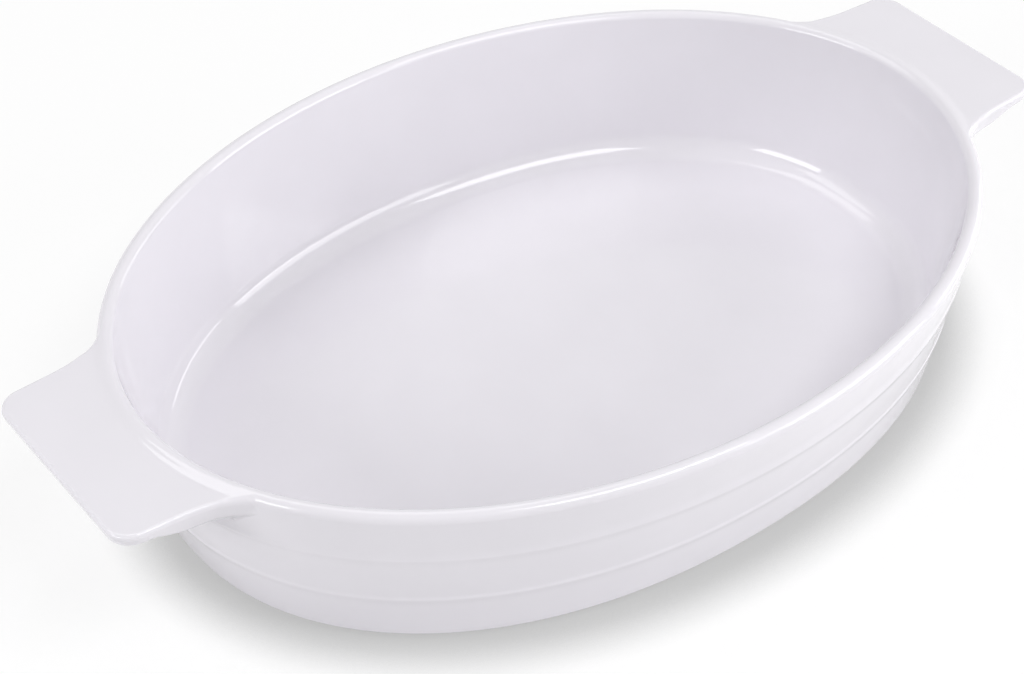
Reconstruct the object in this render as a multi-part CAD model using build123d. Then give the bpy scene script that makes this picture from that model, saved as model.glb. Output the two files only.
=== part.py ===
from build123d import *
import math
import os

# Oval gratin dish of glazed stoneware with a flat lug handle at each end.
# Millimetres, +Z up, +X along the handles. The origin is on the table, under the middle of the dish.

# Bowl
rim_length = 304.0
rim_width = 223.5
dish_height = 58.7
wall_lean = 13.0
wall_thickness = 5.2
rim_round_share = 0.47
rim_exponent = 2.0
bottom_exponent = 2.17
bottom_edge_round = 1.6
floor_thickness = 5.0
floor_fillet = 9.5

# Two fine raised lines round the outside of the bowl
line_height_shares = (1 / 3, 2 / 3)
line_radius = 1.4
line_proud = 0.4

# Foot ring
foot_height = 1.0
foot_width = 6.0
foot_setback = 3.0

# Handles
handle_reach = 26.0
handle_tip_width = 73.4
handle_root_width = 76.2
handle_corner_radius = 8.0
handle_flare_run = 17.0
handle_flare_climb = 6.0
handle_flare_bite = 0.3
handle_drop = 0.6
handle_thickness = 5.0
handle_flat = 8.0
handle_underside_radius = 54.0
handle_edge_round_share = 0.4

# Overrun of every cut, and how finely the ovals and the flare are worked out
cut_overrun = 5.0
oval_points = 24
bisection_steps = 50
turn_step = 1e-4

# Worked out from the sizes above. The wall runs straight from the bottom edge and meets the rim's
# round in a tangent, so the sharp outline that the rim is rounded from is a little longer than the
# rim. The handles' sharp outline is larger than the handles by the same rule.
half_length = rim_length / 2
half_width = rim_width / 2
rim_round = rim_round_share * wall_thickness
wall_rise = dish_height - foot_height
round_out = wall_lean - rim_round
round_up = wall_rise - rim_round
wall_angle = math.atan2(round_out, round_up) + math.asin(rim_round / math.hypot(round_out, round_up))
wall_spread = wall_rise * math.tan(wall_angle)
bottom_half_length = half_length - wall_lean
bottom_half_width = half_width - wall_lean
floor_height = foot_height + floor_thickness
handle_top = dish_height - handle_drop
handle_bottom = handle_top - handle_thickness
handle_edge_round = handle_edge_round_share * handle_thickness
handle_edge_gain = handle_edge_round * ((1 + math.sin(wall_angle)) / math.cos(wall_angle) - 1)


def lame_point(half_x, half_y, exponent, turn):
    """Point at a turn, in radians, of the oval |x/a|^n + |y/b|^n = 1."""
    cos_turn = math.cos(turn)
    sin_turn = math.sin(turn)
    reach = (abs(cos_turn) ** exponent + abs(sin_turn) ** exponent) ** (-1 / exponent)
    return Vector(half_x * cos_turn * reach, half_y * sin_turn * reach, 0)


def wall_point(height, turn, inset=0):
    """Point of the sharp-edged outside at a height, or of the same oval drawn in by an inset."""
    bottom = lame_point(bottom_half_length - inset, bottom_half_width - inset, bottom_exponent, turn)
    top_half_length = bottom_half_length + wall_spread
    top_half_width = bottom_half_width + wall_spread
    top = lame_point(top_half_length - inset, top_half_width - inset, rim_exponent, turn)
    share = (height - foot_height) / wall_rise
    return bottom + (top - bottom) * share


def wall_normal(height, turn):
    """Outward direction of the wall's outline at a height and turn, taken level."""
    along = wall_point(height, turn + turn_step) - wall_point(height, turn - turn_step)
    return Vector(along.Y, -along.X, 0).normalized()


def oval_face(height, inset=0):
    """Level oval section at a height."""
    turns = [2 * math.pi * number / oval_points for number in range(oval_points)]
    outline = Spline(*[wall_point(height, turn, inset) for turn in turns], periodic=True)
    return Pos(0, 0, height) * make_face(outline).face()


def filled_bowl():
    """The bowl as a block with sharp edges: an oval that leans outwards from the underside to the rim."""
    return loft([oval_face(foot_height), oval_face(dish_height)], ruled=True)


def food_space():
    """The space inside the bowl, the wall's thickness in from the outside and open above the rim."""
    brim = dish_height + cut_overrun
    return loft([oval_face(floor_height, wall_thickness), oval_face(brim, wall_thickness)], ruled=True)


def raised_line(height):
    """A round bead, sunk in the wall but for its crest."""
    path = oval_face(height, line_radius - line_proud).outer_wire()
    section = Plane(origin=path @ 0, x_dir=Vector(0, 0, 1), z_dir=path % 0) * Circle(line_radius)
    return sweep(section, path=path)


def make_bowl():
    """The bowl, its edges rounded last: the corner of the floor, both edges of the rim, the bottom edge."""
    body = filled_bowl() - food_space()
    for share in line_height_shares:
        body = body + raised_line(share * dish_height)
    floor = body.faces().filter_by(Plane.XY).sort_by(Axis.Z)[1]
    body = fillet(floor.edges(), floor_fillet)
    body = fillet(body.edges().group_by(Axis.Z)[-1], rim_round)
    return fillet(body.edges().group_by(Axis.Z)[0], bottom_edge_round)


def make_foot_ring():
    """Low ring that the dish stands on, set back from the bottom edge."""
    outer = oval_face(foot_height, foot_setback)
    inner = oval_face(foot_height, foot_setback + foot_width)
    return extrude(outer - inner, amount=-foot_height)


def handle_points(height):
    """Half of the handle's outline at a height: tip corner, then start, bend and end of the flare.

    The flank splays from the tip to the root. The flare is a curve that leaves the flank gently, tightens
    towards the wall and runs into it almost level with it. Its bend is where the flank alone would meet
    the wall. The last point lies inside the wall, behind the end of the flare.
    """
    spread = handle_edge_gain - (handle_top - height) * math.tan(wall_angle)
    tip = Vector(half_length + handle_reach + spread, handle_tip_width / 2 + spread, 0)
    root = Vector(half_length + spread, handle_root_width / 2 + spread, 0)
    along = (root - tip).normalized()
    outward = Vector(along.Y, -along.X, 0)

    low = 0
    high = math.pi / 2
    for _ in range(bisection_steps):
        turn = (low + high) / 2
        if (wall_point(height, turn) - tip).dot(outward) < 0:
            low = turn
        else:
            high = turn

    bend = wall_point(height, turn)
    pace = (wall_point(height, turn + turn_step) - bend).length / turn_step
    end_turn = turn + handle_flare_climb / pace
    normal = wall_normal(height, end_turn)
    end = wall_point(height, end_turn) - normal * handle_flare_bite
    return tip, bend - along * handle_flare_run, bend, end, end - normal * cut_overrun


def handle_face(height):
    """Level section of the handle's blank at a height."""
    tip, start, bend, end, inside = handle_points(height)
    flank = [Line(tip, start), Bezier(start, bend, end), Line(end, inside)]
    half = make_face(flank + [Polyline(inside, (inside.X, 0), (tip.X, 0), tip)])
    whole = half + mirror(half, Plane.XZ)
    corners = whole.vertices().group_by(Axis.X)[-1]
    return Pos(0, 0, height) * fillet(corners, handle_corner_radius).face()


def handle_side():
    """Side section of the handle: level top, and an underside that curves down towards the wall."""
    far_x = half_length + handle_reach + cut_overrun
    flat_x = half_length + handle_reach - handle_flat
    inner_x = handle_points(handle_top)[-1].X - cut_overrun
    arc_reach = min(flat_x - inner_x, handle_underside_radius)
    arc_fall = handle_underside_radius - math.sqrt(handle_underside_radius ** 2 - arc_reach ** 2)
    lowest = handle_bottom - arc_fall
    roof = handle_top + cut_overrun

    arc = RadiusArc((flat_x, handle_bottom), (flat_x - arc_reach, lowest), -handle_underside_radius)
    rest = Polyline(
        (flat_x - arc_reach, lowest), (inner_x - cut_overrun, lowest), (inner_x - cut_overrun, roof),
        (far_x, roof), (far_x, handle_bottom), (flat_x, handle_bottom),
    )
    return Plane.XZ * make_face([arc, rest])


def outer_edges(lug):
    """The edges round the handle's top and underside, but for those inside the wall."""
    flare_end = handle_points(handle_top)[-2]
    levels = lug.faces().filter_by(lambda face: abs(face.normal_at().Z) > 1 / 2)
    sides = lug.faces().filter_by(lambda face: abs(face.normal_at().Z) < 1 / 2)
    sides = sides.filter_by(lambda face: face.center().X > flare_end.X)
    edges_of_levels = levels.edges()
    return sides.edges().filter_by(lambda edge: edge in edges_of_levels)


def handle_blank():
    """The +X handle with its edges rounded, still running on into the wall."""
    side = handle_side()
    lowest = side.bounding_box().min.Z - cut_overrun
    block = loft([handle_face(lowest), handle_face(handle_top)], ruled=True)
    lug = block & extrude(side, amount=handle_root_width, both=True)
    return fillet(outer_edges(lug), handle_edge_round)


def fit_to_wall(blank):
    """A handle as it is joined: its blank without what lies inside the bowl's outside."""
    block = filled_bowl()
    lug = blank - fillet(block.edges().group_by(Axis.Z)[-1], rim_round)
    for share in line_height_shares:
        lug = lug - raised_line(share * dish_height)
    return lug


if __name__ == "__main__":
    os.makedirs("parts", exist_ok=True)
    blank = handle_blank()
    nodes = {
        "bowl": make_bowl(),
        "foot_ring": make_foot_ring(),
        "right_handle": fit_to_wall(blank),
        "left_handle": fit_to_wall(mirror(blank, Plane.YZ)),
    }
    for name, solid in nodes.items():
        export_step(solid, f"parts/{name}.step")
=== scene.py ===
import math

import bpy
import numpy as np
from mathutils import Matrix, Vector


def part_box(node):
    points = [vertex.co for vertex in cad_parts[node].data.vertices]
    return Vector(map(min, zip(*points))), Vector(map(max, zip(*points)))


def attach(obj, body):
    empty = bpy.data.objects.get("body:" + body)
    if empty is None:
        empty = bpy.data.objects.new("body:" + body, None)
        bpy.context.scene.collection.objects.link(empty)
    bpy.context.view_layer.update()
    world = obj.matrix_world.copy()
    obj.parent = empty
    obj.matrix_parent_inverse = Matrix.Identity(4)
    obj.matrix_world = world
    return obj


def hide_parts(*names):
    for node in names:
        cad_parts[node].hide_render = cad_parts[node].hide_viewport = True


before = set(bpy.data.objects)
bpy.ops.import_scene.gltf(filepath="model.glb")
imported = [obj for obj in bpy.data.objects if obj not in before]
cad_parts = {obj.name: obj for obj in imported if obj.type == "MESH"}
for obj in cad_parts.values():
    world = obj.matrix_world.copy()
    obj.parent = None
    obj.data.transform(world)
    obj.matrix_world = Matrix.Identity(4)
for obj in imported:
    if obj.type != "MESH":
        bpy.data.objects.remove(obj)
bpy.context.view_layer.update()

# Sizes are in metres. The overall ones are read from the frame, so the pieces sit where it says.
bowl_low, bowl_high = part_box("bowl")
handle_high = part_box("right_handle")[1]
ring_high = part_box("foot_ring")[1]
rim_half_length = bowl_high.x
rim_half_width = bowl_high.y
rim_height = bowl_high.z
foot_height = bowl_low.z
handle_tip = handle_high.x
handle_top = handle_high.z
ring_half_length = ring_high.x
ring_half_width = ring_high.y
ring_top = ring_high.z

# Bowl
wall_lean = 0.013
wall_thickness = 0.0052
rim_round = 0.002444
rim_centre_height = rim_height - rim_round
bottom_exponent = 2.17
bottom_edge_round = 0.0016
floor_thickness = 0.005
floor_fillet = 0.0095

# Two raised lines round the wall, their lower flank gentler than the upper one
line_height_shares = (1 / 3, 2 / 3)
line_proud = 0.00028
line_upper_width = 0.0007
line_lower_width = 0.0019

# Foot ring
ring_width = 0.006
ring_edge_round = 0.0003

# Handles from above. The flank alone would meet the rim at the bend. The flare leaves the flank
# flare_run before the bend and ends flare_climb beyond it, along the rim.
tip_half_width = 0.0367
root_half_width = 0.0381
corner_radius = 0.008
flare_run = 0.017
flare_climb = 0.008

# Handles in section: the soft step from the rim's crest to the top, the fall of the underside and its
# fillet into the wall, and the rounds of the edges. The round at the top grows into the rim's own
# where the handle reaches out less than flare_reach. The round below goes from root_round at the rim
# to low_round at root_reach.
handle_thickness = 0.005
handle_bottom = handle_top - handle_thickness
handle_flat = 0.008
shoulder = 0.0040
underside_fall = 0.0040
underside_run = 0.015
underside_blend = 0.006
top_round = 0.0013
flare_reach = 0.006
low_round = 0.0022
root_round = 0.0032
root_reach = 0.020

# At the end of the flare the handle's surface sinks just below the rim's
fade_reach = 0.003
fade_sink = 0.00008

# Fineness of the meshes. The points up the wall are close together within reach of a raised line, and
# disc_shares draw the flat middles of the bowl in, ring by ring.
around_count = 480
outline_step = 0.0006
flare_step = 0.0004
bottom_edge_count = 9
rim_count = 22
inner_wall_count = 26
fillet_count = 26
ring_edge_count = 6
line_count = 19
between_lines_count = 7
line_upper_reach = 3 * line_upper_width
line_lower_reach = 2.5 * line_lower_width
handle_section_counts = (14, 26, 12, 18, 12, 26, 22)
disc_shares = np.array([0.999, 0.99, 0.97, 0.93, 0.86, 0.76, 0.64, 0.51, 0.38, 0.25, 0.12])
sharp_angle = math.radians(50)

# How the surfaces are searched. A handle's section is found by rays through a guide line, as far out as
# ray_search times the guide. The shares say where the guide turns at the edge and under the handle.
bisection_steps = 60
turn_step = 1e-4
least_facing = 0.05
least_reach = 0.0005
least_radius = 1e-9
blend_search_depth = 0.03
guide_turn_share = 1 / 3
guide_inner_share = 0.3
ray_search = 3

# Glaze. A range goes with the noise from 0 to 1, and a scale is in cells a metre.
glaze_ior = 1.52
glaze_colours = ((0.3, (0.790, 0.770, 0.816)), (0.7, (0.812, 0.792, 0.838)))
glaze_roughness = (0.05, 0.09)
cloud_scale = 28
cloud_detail = 3
swell_scale = 75
swell_detail = 1
swell_strength = 0.25
swell_height = 0.0004

# Bare stoneware
bare_colours = ((0, (0.56, 0.52, 0.46)), (1, (0.78, 0.74, 0.68)))
bare_roughness = 0.85
grain_scale = 1800
grain_detail = 4
grain_strength = 1
grain_height = 0.0001

# Floor. Light bounces off floor_colour. The eye sees a floor with a painted shadow, from ambient
# occlusion, that deepens where the dish covers it, and whose share of plain white grows with the
# distance.
floor_half_size = 6.0
floor_colour = (0.90, 0.90, 0.90, 1)
painted_shadow_reach = 0.034
painted_shadow_openness = (0.5, 0.79)
painted_shadow_brightness = (0.58, 1.0)
plain_distance = (0.35, 1.1)
plain_share = (0.78, 1.0)

# World: its strength as light, and as the eye sees it
world_colour = (1, 1, 1, 1)
world_strength = (0.23, 1.0)

# Lamps
softbox_distance = 1.6

# The camera stands where the photograph's perspective puts it. The middle of the dish shows at
# target_pixel.
image_size = (1024, 674)
target_pixel = (555.36, 301.02)
focal_pixels = 2330.7
camera_distance = 0.7517
camera_azimuth = math.radians(-37.76)
camera_elevation = math.radians(39.73)
sensor_millimetres = 36.0
camera_clip_start = 0.01


def smoothstep(share):
    share = np.clip(share, 0, 1)
    return share * share * (3 - 2 * share)


def bisect(low, high, beyond):
    """Where beyond turns true on the way from low to high, for one value or many at once."""
    for _ in range(bisection_steps):
        middle = (low + high) / 2
        past = beyond(middle)
        low = np.where(past, low, middle)
        high = np.where(past, middle, high)
    return middle


def column(values):
    """One value for each station, to go with a row of points for each station."""
    return values[:, None]


def plan_place(foot, normal, u):
    """Level place of points that lie a distance u out from each station's foot point."""
    return column(foot[:, 0]) + column(normal[:, 0]) * u, column(foot[:, 1]) + column(normal[:, 1]) * u


def rim_point(turn):
    """Point of the rim's outermost line and the level outward direction there."""
    x = rim_half_length * np.cos(turn)
    y = rim_half_width * np.sin(turn)
    normal = np.stack([x / rim_half_length**2, y / rim_half_width**2], -1)
    normal /= np.linalg.norm(normal, axis=-1, keepdims=True)
    return np.stack([x, y], -1), normal


def nearest_rim(points):
    """For each plan point, the rim point whose outward normal passes through it."""

    def beyond(turn):
        foot, normal = rim_point(turn)
        offset = points - foot
        return normal[:, 0] * offset[:, 1] - normal[:, 1] * offset[:, 0] <= 0

    quarter = np.full(len(points), math.pi / 2)
    return rim_point(bisect(-quarter, quarter, beyond))


def bottom_inset(point, normal):
    """How far the sharp bottom edge lies inside the rim's outermost line, along the normal."""
    half = np.array([rim_half_length - wall_lean, rim_half_width - wall_lean])

    def within(inset):
        powers = np.abs((point - normal * column(inset)) / half) ** bottom_exponent
        return powers.sum(-1) <= 1

    return bisect(np.zeros(len(point)), np.full(len(point), 2 * wall_lean), within)


def wall_slope(inset):
    """Angle from the vertical of the wall line that is tangent to the rim's round."""
    out = inset - rim_round
    up = rim_centre_height - foot_height
    return np.arctan2(out, up) + np.arcsin(rim_round / np.hypot(out, up))


def wall_shares():
    """Heights up the wall as shares, close together at the raised lines."""
    height = rim_height - foot_height
    marks = [0.0]
    for share in line_height_shares:
        middle = (share * rim_height - foot_height) / height
        marks += [middle - line_lower_reach / height, middle + line_upper_reach / height]
    marks.append(1.0)
    stretches = [
        np.linspace(low, high, line_count if number % 2 else between_lines_count, endpoint=False)
        for number, (low, high) in enumerate(zip(marks[:-1], marks[1:]))
    ]
    return np.concatenate(stretches)[1:]


def arc_points(centre_u, centre_z, radius, start, stop, count):
    """Points of an arc for every station; angles are in radians from outward, towards up."""
    angle = column(start) + column(stop - start) * np.linspace(0, 1, count)
    return column(centre_u) + radius * np.cos(angle), column(centre_z) + radius * np.sin(angle)


def joining_points(before, after, shares):
    """Points at shares of the way from the end of one curve to the start of the next."""
    return tuple(
        first[:, -1:] + (second[:, :1] - first[:, -1:]) * shares
        for first, second in zip(before, after)
    )


def bowl_section(inset):
    """Outline of the wall at every station, from the underside round the rim to the floor."""
    slope = wall_slope(inset)
    zero = np.zeros_like(slope)
    right = zero + math.pi / 2
    floor = foot_height + floor_thickness

    # Bottom edge: a round between the underside and the wall
    edge_tangent = bottom_edge_round * np.tan((math.pi / 2 - slope) / 2)
    edge_u = -inset - edge_tangent
    edge_z = zero + foot_height + bottom_edge_round
    edge = arc_points(edge_u, edge_z, bottom_edge_round, -right, -slope, bottom_edge_count)

    # Outer wall with the raised lines, then the rim
    outer_u = zero - rim_round
    rim_z = zero + rim_centre_height
    rim_out = arc_points(outer_u, rim_z, rim_round, -slope, right, rim_count)
    wall_u, wall_z = joining_points(edge, rim_out, wall_shares())
    bump = 0
    for share in line_height_shares:
        above = wall_z - share * rim_height
        width = np.where(above > 0, line_upper_width, line_lower_width)
        bump = bump + np.exp(-((above / width) ** 2))
    wall = (
        wall_u + line_proud * bump * column(np.cos(slope)),
        wall_z - line_proud * bump * column(np.sin(slope)),
    )

    # Inner rim, inner wall and the fillet into the floor
    gap = wall_thickness - 2 * rim_round / np.cos(slope)
    rim_in = arc_points(outer_u - gap, rim_z, rim_round, right, math.pi - slope, rim_count)
    inner_u = outer_u - gap - (rim_round + floor_fillet) * np.cos(slope)
    inner_z = rim_z + (rim_round + floor_fillet) * np.sin(slope)
    drop = inner_z - (floor + floor_fillet)
    fillet_u = inner_u - drop * np.tan(slope)
    fillet_z = zero + floor + floor_fillet
    fillet = arc_points(fillet_u, fillet_z, floor_fillet, -slope, -right, fillet_count)
    inner = joining_points(rim_in, fillet, np.linspace(0, 1, inner_wall_count)[1:-1])

    curves = (edge, wall, rim_out, rim_in, inner, fillet)
    u, z = (np.concatenate(parts, axis=1) for parts in zip(*curves))
    return u, z


def grid_faces(rows, columns, wrap_rows=False, wrap_columns=False):
    """Quads of a grid of points that is stored row by row."""
    faces = []
    for row in range(rows if wrap_rows else rows - 1):
        here = row * columns
        there = (row + 1) % rows * columns
        for place in range(columns if wrap_columns else columns - 1):
            after = (place + 1) % columns
            faces.append((here + place, there + place, there + after, here + after))
    return faces


def new_piece(name, points, faces, node):
    """A mesh piece that rides on the one body and stands for its CAD node."""
    mesh = bpy.data.meshes.new(name)
    mesh.from_pydata(points.tolist(), [], faces)
    mesh.validate()
    mesh.polygons.foreach_set("use_smooth", [True] * len(mesh.polygons))
    mesh.set_sharp_from_angle(angle=sharp_angle)
    piece = bpy.data.objects.new(name, mesh)
    bpy.context.scene.collection.objects.link(piece)
    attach(piece, "root")
    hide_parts(node)
    return piece


def make_bowl():
    turn = np.linspace(0, 2 * math.pi, around_count, endpoint=False)
    point, normal = rim_point(turn)
    u, z = bowl_section(bottom_inset(point, normal))
    x, y = plan_place(point, normal, u)

    # Rings that draw in to the middle of the underside and of the floor
    under = disc_shares[::-1]
    flat = np.ones(len(disc_shares))
    x = np.concatenate([x[:, :1] * under, x, x[:, -1:] * disc_shares], axis=1)
    y = np.concatenate([y[:, :1] * under, y, y[:, -1:] * disc_shares], axis=1)
    z = np.concatenate([z[:, :1] * flat, z, z[:, -1:] * flat], axis=1)

    columns = x.shape[1]
    points = np.stack([x, y, z], -1).reshape(-1, 3)
    faces = grid_faces(around_count, columns, wrap_rows=True)
    underside_middle = len(points)
    floor_middle = underside_middle + 1
    points = np.vstack([points, [0, 0, z[0, 0]], [0, 0, z[0, -1]]])
    for row in range(around_count):
        here = row * columns
        there = (row + 1) % around_count * columns
        faces.append((there, here, underside_middle))
        faces.append((here + columns - 1, there + columns - 1, floor_middle))
    return new_piece("bowl_glazed", points, faces, "bowl")


def straight_points(start, stop, normal):
    """Points between two ends, without the ends, and their normals."""
    count = max(3, int(np.linalg.norm(stop - start) / outline_step))
    share = column(np.linspace(0, 1, count)[1:-1])
    return start + (stop - start) * share, np.repeat(normal[None, :], count - 2, 0)


def handle_outline():
    """Outline of the +X handle from above, round the tip from flare to flare, and its normals."""
    tip = np.array([handle_tip, tip_half_width])
    root = np.array([rim_half_length, root_half_width])
    along = (root - tip) / np.linalg.norm(root - tip)
    outward = np.array([along[1], -along[0]])

    # Start, control point and end of the flare
    turn = bisect(0.0, math.pi / 2, lambda turn: np.dot(rim_point(turn)[0] - tip, outward) >= 0)
    bend, _ = rim_point(turn)
    start = bend - along * flare_run
    pace = np.linalg.norm(rim_point(turn + turn_step)[0] - bend) / turn_step
    end, normal = rim_point(turn + flare_climb / pace)
    tangent = np.array([-normal[1], normal[0]])
    control = end - tangent * np.dot(end - tip, outward) / np.dot(tangent, outward)

    # Corner between the tip and the flank, which splays a little
    splay = math.atan2(outward[0], outward[1])
    corner_y = tip[1] - (corner_radius - outward[0] * corner_radius) / outward[1]
    corner_centre = np.array([handle_tip - corner_radius, corner_y])
    corner_count = max(3, int(math.pi / 2 * corner_radius / outline_step))
    angle = np.linspace(0, math.pi / 2 - splay, corner_count)
    direction = np.stack([np.cos(angle), np.sin(angle)], -1)
    corner = corner_centre + corner_radius * direction

    # The flare is a parabola that leaves the flank gently and runs into the rim's line
    share = column(np.linspace(0, 1, int(flare_run / flare_step)))
    flare = (1 - share) ** 2 * start + 2 * share * (1 - share) * control + share**2 * end
    course = (1 - share) * (control - start) + share * (end - control)
    course /= np.linalg.norm(course, axis=1, keepdims=True)
    flare_normal = np.stack([course[:, 1], -course[:, 0]], -1)

    middle = np.array([handle_tip, 0.0])
    forward = np.array([1.0, 0.0])
    half = [
        straight_points(middle, corner[0], forward),
        (corner, direction),
        straight_points(corner[-1], start, outward),
        (flare, flare_normal),
    ]
    points, normals = (np.concatenate(parts) for parts in zip(*half))
    flip = np.array([1, -1])
    points = np.concatenate([points[::-1] * flip, [middle], points])
    normals = np.concatenate([normals[::-1] * flip, [forward], normals])
    return points, normals


def rounded_meet(a, b, radius):
    """Distance to what lies inside two surfaces, with the edge between them rounded."""
    corner = np.hypot(np.maximum(a + radius, 0), np.maximum(b + radius, 0))
    return np.minimum(np.maximum(a, b), -radius) + corner


def blended_join(a, b, radius):
    """Distance to what lies inside either of two surfaces, with a fillet between them."""
    radius = np.maximum(radius, least_radius)
    corner = np.hypot(np.maximum(radius - a, 0), np.maximum(radius - b, 0))
    return np.maximum(np.minimum(a, b), radius) - corner


def handle_sections():
    """Foot points on the rim, normals, and section at each station of the +X handle.

    A section is where the distance to the bowl's rim and wall, joined with the handle, is zero. It is
    found by rays from a point in the wall. Every value has a row for each station and a column for
    each point of its section.
    """
    outline, outline_normal = handle_outline()
    foot, normal = nearest_rim(outline)
    reach = column(np.maximum(((outline - foot) * normal).sum(-1), 0))
    facing = column(np.maximum((outline_normal * normal).sum(-1), least_facing))
    slope = column(wall_slope(bottom_inset(foot, normal)))
    top_radius = top_round + (rim_round - top_round) * (1 - smoothstep(reach / flare_reach))
    sink = (1 - smoothstep(reach / fade_reach)) * fade_sink
    blend = np.minimum(underside_blend, reach)

    def along_wall(out, up):
        return out * np.sin(slope) + up * np.cos(slope)

    def off_wall(out, up):
        return out * np.cos(slope) - up * np.sin(slope)

    def bowl_distance(u, z):
        out = u + rim_round
        up = z - rim_centre_height
        return np.where(along_wall(out, up) < 0, off_wall(out, up), np.hypot(out, up)) - rim_round

    def upper(u):
        return rim_height - (rim_height - handle_top) * smoothstep((u + rim_round) / shoulder)

    def underside(u):
        x, _ = plan_place(foot, normal, u)
        inward = handle_tip - handle_flat - x
        return handle_bottom - underside_fall * smoothstep(inward / underside_run)

    def lid_distance(u, z):
        out = (u - reach) * facing + top_radius
        up = z - upper(reach - top_radius / facing) + top_radius
        round_edge = np.where(out > 0, np.hypot(out, up), 0)
        edge = np.where(along_wall(out, up) < 0, off_wall(out, up), round_edge) - top_radius
        return np.maximum(edge, z - upper(u))

    def handle_distance(u, z):
        radius = root_round + (low_round - root_round) * smoothstep(u / root_reach)
        return rounded_meet(lid_distance(u, z), underside(u) - z, radius)

    def whole_distance(u, z):
        low_share = smoothstep((handle_top - low_round - z) / low_round)
        return blended_join(bowl_distance(u, z), handle_distance(u, z), blend * low_share) + sink

    def wall_line(z):
        """How far out the straight outside of the wall is at a height."""
        return rim_round / np.cos(slope) - rim_round - (rim_centre_height - z) * np.tan(slope)

    # Where the blend leaves the wall below
    low = np.full_like(reach, handle_bottom)
    end_z = bisect(low, low - blend_search_depth, lambda z: handle_distance(wall_line(z), z) > blend)
    end_u = wall_line(end_z)

    # The rays pass through a guide line, from the crest of the rim round the edge and back below
    core_u = np.full_like(reach, -rim_round)
    core_z = np.full_like(reach, (handle_top + handle_bottom) / 2)
    crest_z = np.full_like(reach, rim_height)
    corner_u = np.maximum(reach, least_reach)
    turn_u = corner_u - np.minimum(corner_u * guide_turn_share, low_round / facing)
    inner_u = end_u + (corner_u - end_u) * guide_inner_share
    guide = [
        np.stack(corner)
        for corner in (
            (core_u, crest_z),
            (core_u * 0, crest_z),
            (turn_u, upper(turn_u)),
            (corner_u, upper(corner_u)),
            (corner_u, underside(corner_u)),
            (turn_u, underside(turn_u)),
            (inner_u, underside(inner_u)),
            (end_u, end_z),
        )
    ]
    runs = [
        start + (stop - start) * np.linspace(0, 1, count, endpoint=False)
        for start, stop, count in zip(guide[:-1], guide[1:], handle_section_counts)
    ]
    guide_u, guide_z = np.concatenate(runs + [guide[-1]], axis=2)
    ray_u = guide_u - core_u
    ray_z = guide_z - core_z

    def outside(step):
        return whole_distance(core_u + ray_u * step, core_z + ray_z * step) >= 0

    step = bisect(np.zeros_like(ray_u), np.full_like(ray_u, ray_search), outside)
    u = np.concatenate([core_u + ray_u * step, core_u], axis=1)
    z = np.concatenate([core_z + ray_z * step, core_z], axis=1)
    return foot, normal, u, z


def make_handle(name, node, side):
    """The handle at the +X end where side is 1, or at the -X end where it is -1."""
    foot, normal, u, z = handle_sections()
    x, y = plan_place(foot, normal, u)
    rows, columns = x.shape
    points = np.stack([side * x, y, z], -1).reshape(-1, 3)
    faces = grid_faces(rows, columns, wrap_columns=True)
    faces.append(tuple(range(columns)))
    faces.append(tuple(range(rows * columns - 1, (rows - 1) * columns - 1, -1)))
    if side > 0:
        faces = [face[::-1] for face in faces]
    return new_piece(name, points, faces, node)


def make_foot_ring():
    """Low unglazed ring, its lower edges just broken."""
    turn = np.linspace(0, 2 * math.pi, around_count, endpoint=False)
    powers = np.abs(np.cos(turn)) ** bottom_exponent + np.abs(np.sin(turn)) ** bottom_exponent
    reach = column(powers ** (-1 / bottom_exponent))
    quarter = np.linspace(0, math.pi / 2, ring_edge_count)
    inset = np.concatenate([[0], ring_edge_round * (1 - np.cos(quarter))])
    height = np.concatenate([[ring_top], ring_edge_round * (1 - np.sin(quarter))])
    inset = np.concatenate([inset, ring_width - inset[::-1]])
    height = np.concatenate([height, height[::-1]])

    x = (ring_half_length - inset) * column(np.cos(turn)) * reach
    y = (ring_half_width - inset) * column(np.sin(turn)) * reach
    points = np.stack([x, y, np.broadcast_to(height, x.shape)], -1).reshape(-1, 3)
    faces = grid_faces(around_count, len(inset), wrap_rows=True, wrap_columns=True)
    faces = [(first, fourth, third, second) for first, second, third, fourth in faces]
    return new_piece("foot_ring_bare", points, faces, "foot_ring")


def new_material(name):
    """A material and its node tree."""
    material = bpy.data.materials.new(name)
    material.use_nodes = True
    return material, material.node_tree


def map_range(tree, value, before, after):
    """The value, with the range before carried over to the range after and held at both ends."""
    node = tree.nodes.new("ShaderNodeMapRange")
    node.inputs["From Min"].default_value, node.inputs["From Max"].default_value = before
    node.inputs["To Min"].default_value, node.inputs["To Max"].default_value = after
    tree.links.new(value, node.inputs["Value"])
    return node.outputs["Result"]


def object_place(tree):
    """Where a point is in the object's own coordinates."""
    return tree.nodes.new("ShaderNodeTexCoord").outputs["Object"]


def object_noise(tree, scale, detail):
    """Noise that stays with the object."""
    noise = tree.nodes.new("ShaderNodeTexNoise")
    noise.inputs["Scale"].default_value = scale
    noise.inputs["Detail"].default_value = detail
    tree.links.new(object_place(tree), noise.inputs["Vector"])
    return noise.outputs["Fac"]


def colour_between(tree, value, stops):
    """The colour at a value, between two stops that each have a value and a colour."""
    ramp = tree.nodes.new("ShaderNodeValToRGB")
    for element, (position, colour) in zip(ramp.color_ramp.elements, stops):
        element.position = position
        element.color = (*colour, 1)
    tree.links.new(value, ramp.inputs["Fac"])
    return ramp.outputs["Color"]


def uneven_normal(tree, relief, strength, height):
    """The surface's normal, turned by a relief of this height."""
    bump = tree.nodes.new("ShaderNodeBump")
    bump.inputs["Strength"].default_value = strength
    bump.inputs["Distance"].default_value = height
    tree.links.new(relief, bump.inputs["Height"])
    return bump.outputs["Normal"]


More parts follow.
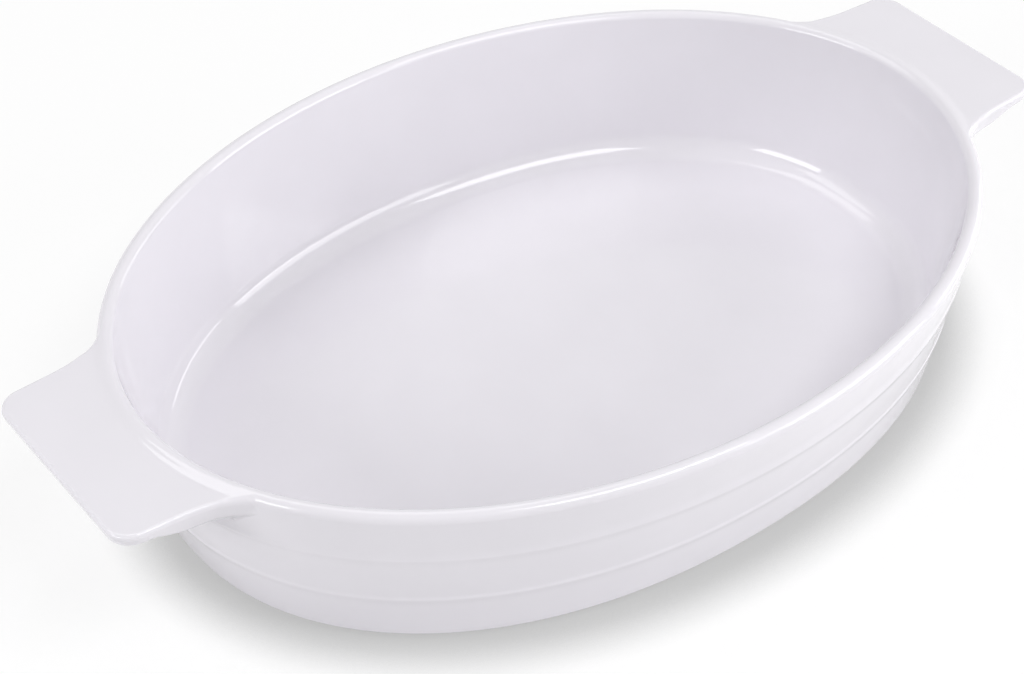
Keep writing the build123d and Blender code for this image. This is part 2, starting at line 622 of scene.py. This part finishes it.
def mixed_shader(tree, share, first, second):
    """The first shader where the share is 0, and the second where it is 1."""
    mix = tree.nodes.new("ShaderNodeMixShader")
    tree.links.new(share, mix.inputs["Fac"])
    tree.links.new(first, mix.inputs[1])
    tree.links.new(second, mix.inputs[2])
    return mix.outputs["Shader"]


def seen_by_eye(tree):
    """1 for what the camera sees, straight or by a reflection, and 0 for diffuse light."""
    paths = tree.nodes.new("ShaderNodeLightPath")
    either = tree.nodes.new("ShaderNodeMath")
    either.operation = "MAXIMUM"
    tree.links.new(paths.outputs["Is Camera Ray"], either.inputs[0])
    tree.links.new(paths.outputs["Is Glossy Ray"], either.inputs[1])
    return either.outputs["Value"]


def glaze_material():
    """Glossy white glaze: a faint cloudiness of colour and gloss, and the soft unevenness of firing."""
    material, tree = new_material("white_glaze")
    shader = tree.nodes["Principled BSDF"]
    shader.inputs["IOR"].default_value = glaze_ior
    cloud = object_noise(tree, cloud_scale, cloud_detail)
    colour = colour_between(tree, cloud, glaze_colours)
    tree.links.new(colour, shader.inputs["Base Color"])
    tree.links.new(map_range(tree, cloud, (0, 1), glaze_roughness), shader.inputs["Roughness"])
    swell = object_noise(tree, swell_scale, swell_detail)
    normal = uneven_normal(tree, swell, swell_strength, swell_height)
    tree.links.new(normal, shader.inputs["Normal"])
    return material


def bare_material():
    """Matte stoneware with a fine grain."""
    material, tree = new_material("bare_stoneware")
    shader = tree.nodes["Principled BSDF"]
    shader.inputs["Roughness"].default_value = bare_roughness
    grain = object_noise(tree, grain_scale, grain_detail)
    tree.links.new(colour_between(tree, grain, bare_colours), shader.inputs["Base Color"])
    normal = uneven_normal(tree, grain, grain_strength, grain_height)
    tree.links.new(normal, shader.inputs["Normal"])
    return material


def floor_material():
    """White, to the eye partly lit by the lamps and partly plain, with a painted shadow by the dish.

    Further out, where the lamps no longer reach, it runs out into plain white.
    """
    material, tree = new_material("floor_white")
    tree.nodes.clear()
    # Painted shadow: ambient occlusion darkens the colour the eye sees near the dish, on the lit and
    # the plain floor alike
    cover = tree.nodes.new("ShaderNodeAmbientOcclusion")
    cover.inputs["Distance"].default_value = painted_shadow_reach
    painted_shade = map_range(tree, cover.outputs["AO"], painted_shadow_openness, painted_shadow_brightness)
    lit_with_painted_shade = tree.nodes.new("ShaderNodeBsdfDiffuse")
    plain = tree.nodes.new("ShaderNodeEmission")
    tree.links.new(painted_shade, lit_with_painted_shade.inputs["Color"])
    tree.links.new(painted_shade, plain.inputs["Color"])

    distance = tree.nodes.new("ShaderNodeVectorMath")
    distance.operation = "LENGTH"
    tree.links.new(object_place(tree), distance.inputs[0])
    share = map_range(tree, distance.outputs["Value"], plain_distance, plain_share)
    seen = mixed_shader(tree, share, lit_with_painted_shade.outputs["BSDF"], plain.outputs["Emission"])

    bounce = tree.nodes.new("ShaderNodeBsdfDiffuse")
    bounce.inputs["Color"].default_value = floor_colour
    surface = mixed_shader(tree, seen_by_eye(tree), bounce.outputs["BSDF"], seen)
    output = tree.nodes.new("ShaderNodeOutputMaterial")
    tree.links.new(surface, output.inputs["Surface"])
    return material


def make_floor():
    mesh = bpy.data.meshes.new("floor")
    corners = [(-1, -1), (1, -1), (1, 1), (-1, 1)]
    points = [(x * floor_half_size, y * floor_half_size, 0) for x, y in corners]
    mesh.from_pydata(points, [], [(0, 1, 2, 3)])
    mesh.materials.append(floor_material())
    floor = bpy.data.objects.new("floor", mesh)
    bpy.context.scene.collection.objects.link(floor)


def make_world():
    world = bpy.data.worlds.new("studio")
    bpy.context.scene.world = world
    world.use_nodes = True
    tree = world.node_tree
    background = tree.nodes["Background"]
    background.inputs["Color"].default_value = world_colour
    strength = map_range(tree, seen_by_eye(tree), (0, 1), world_strength)
    tree.links.new(strength, background.inputs["Strength"])


def make_camera():
    target = Vector((0, 0, rim_height / 2))
    level = math.cos(camera_elevation)
    back = Vector((
        math.sin(camera_azimuth) * level,
        -math.cos(camera_azimuth) * level,
        math.sin(camera_elevation),
    ))
    right = Vector((0, 0, 1)).cross(back).normalized()
    up = back.cross(right)
    look = Matrix((right, up, back)).transposed()
    yaw = math.atan2(target_pixel[0] - image_size[0] / 2, focal_pixels)
    pitch = math.atan2(target_pixel[1] - image_size[1] / 2, focal_pixels)
    aim = look @ Matrix.Rotation(yaw, 3, "Y") @ Matrix.Rotation(pitch, 3, "X")
    data = bpy.data.cameras.new("camera")
    data.sensor_width = sensor_millimetres
    data.lens = focal_pixels / image_size[0] * sensor_millimetres
    data.clip_start = camera_clip_start
    camera = bpy.data.objects.new("camera", data)
    camera.matrix_world = Matrix.Translation(target + back * camera_distance) @ aim.to_4x4()
    bpy.context.scene.collection.objects.link(camera)
    bpy.context.scene.camera = camera


def softbox(name, azimuth, elevation, size, share):
    """Rectangular lamp that faces the dish from a direction in degrees, azimuth from +X towards +Y.

    It gives a surface that faces it this share of the light at which white renders as white.
    """
    data = bpy.data.lights.new(name, "AREA")
    data.shape = "RECTANGLE"
    data.size, data.size_y = size
    data.energy = share * math.pi**2 * softbox_distance**2
    lamp = bpy.data.objects.new(name, data)
    level = math.cos(math.radians(elevation))
    away = Vector((
        level * math.cos(math.radians(azimuth)),
        level * math.sin(math.radians(azimuth)),
        math.sin(math.radians(elevation)),
    ))
    lamp.location = away * softbox_distance
    lamp.rotation_euler = (-away).to_track_quat("-Z", "Y").to_euler()
    lamp.visible_camera = False
    bpy.context.scene.collection.objects.link(lamp)


make_camera()
glaze = glaze_material()
for piece in (
    make_bowl(),
    make_handle("right_handle_glazed", "right_handle", 1),
    make_handle("left_handle_glazed", "left_handle", -1),
):
    piece.data.materials.append(glaze)
make_foot_ring().data.materials.append(bare_material())

make_floor()
make_world()
softbox("low_softbox", -45, 10, (0.9, 0.4), 0.19)
softbox("right_softbox", -8, 12, (0.9, 0.4), 0.14)
softbox("front_softbox", -48, 24, (1.1, 0.5), 0.23)
softbox("high_softbox", -75, 58, (0.9, 0.5), 0.33)
softbox("left_softbox", 180, 28, (0.9, 0.5), 0.35)
softbox("back_left_softbox", 135, 50, (0.9, 0.5), 0.12)
softbox("back_softbox", 72, 63, (0.9, 0.6), 0.15)

bpy.context.scene.view_settings.view_transform = "Standard"
